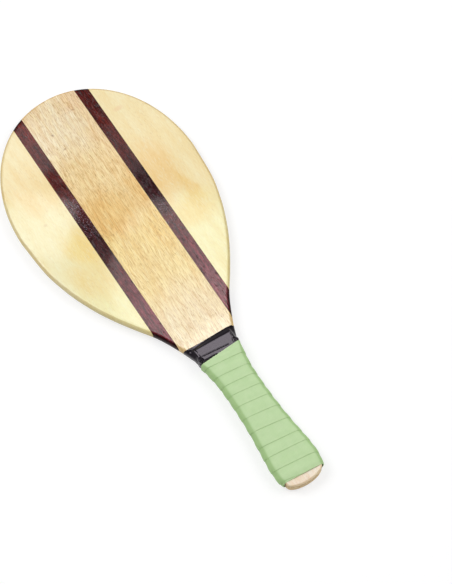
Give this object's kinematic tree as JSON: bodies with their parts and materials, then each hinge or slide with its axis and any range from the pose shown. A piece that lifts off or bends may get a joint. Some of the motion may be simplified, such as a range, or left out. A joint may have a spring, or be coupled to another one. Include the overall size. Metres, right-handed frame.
{
  "type": "frescobol racket",
  "caption": "Flat wooden beach racket with an egg-shaped, edge-glued striped blade, a slim cheeked handle, a black film collar and a spiral-wrapped grip.",
  "frame": {"origin": "under the middle of the racket's length, on the surface that the back of the grip lies on", "axes": "+Y from the butt to the blade's tip, +Z out of the front face, +X to the right seen from the front with the tip up"},
  "size_m": [0.2, 0.48, 0.0172],
  "materials": {
    "plank_wood": "clear gloss varnish over fine dark-pored grain",
    "dark_wood": "clear gloss varnish over dark reddish-brown grain",
    "pale_wood": "clear gloss varnish over faint cream grain",
    "handle_wood": "sanded, thin satin varnish",
    "black_film": "glossy stretched film",
    "grip_tape": "matte mint-green tape with a fine embossed hatch"
  },
  "bodies": {
    "root": {"centre_plank": "plank_wood", "left_dark_strip": "dark_wood", "right_dark_strip": "dark_wood", "left_pale_wing": "pale_wood", "right_pale_wing": "pale_wood", "front_handle_cheek": "handle_wood", "back_handle_cheek": "handle_wood", "black_sleeve": "black_film", "overgrip": "grip_tape"}
  },
  "joints": []
}
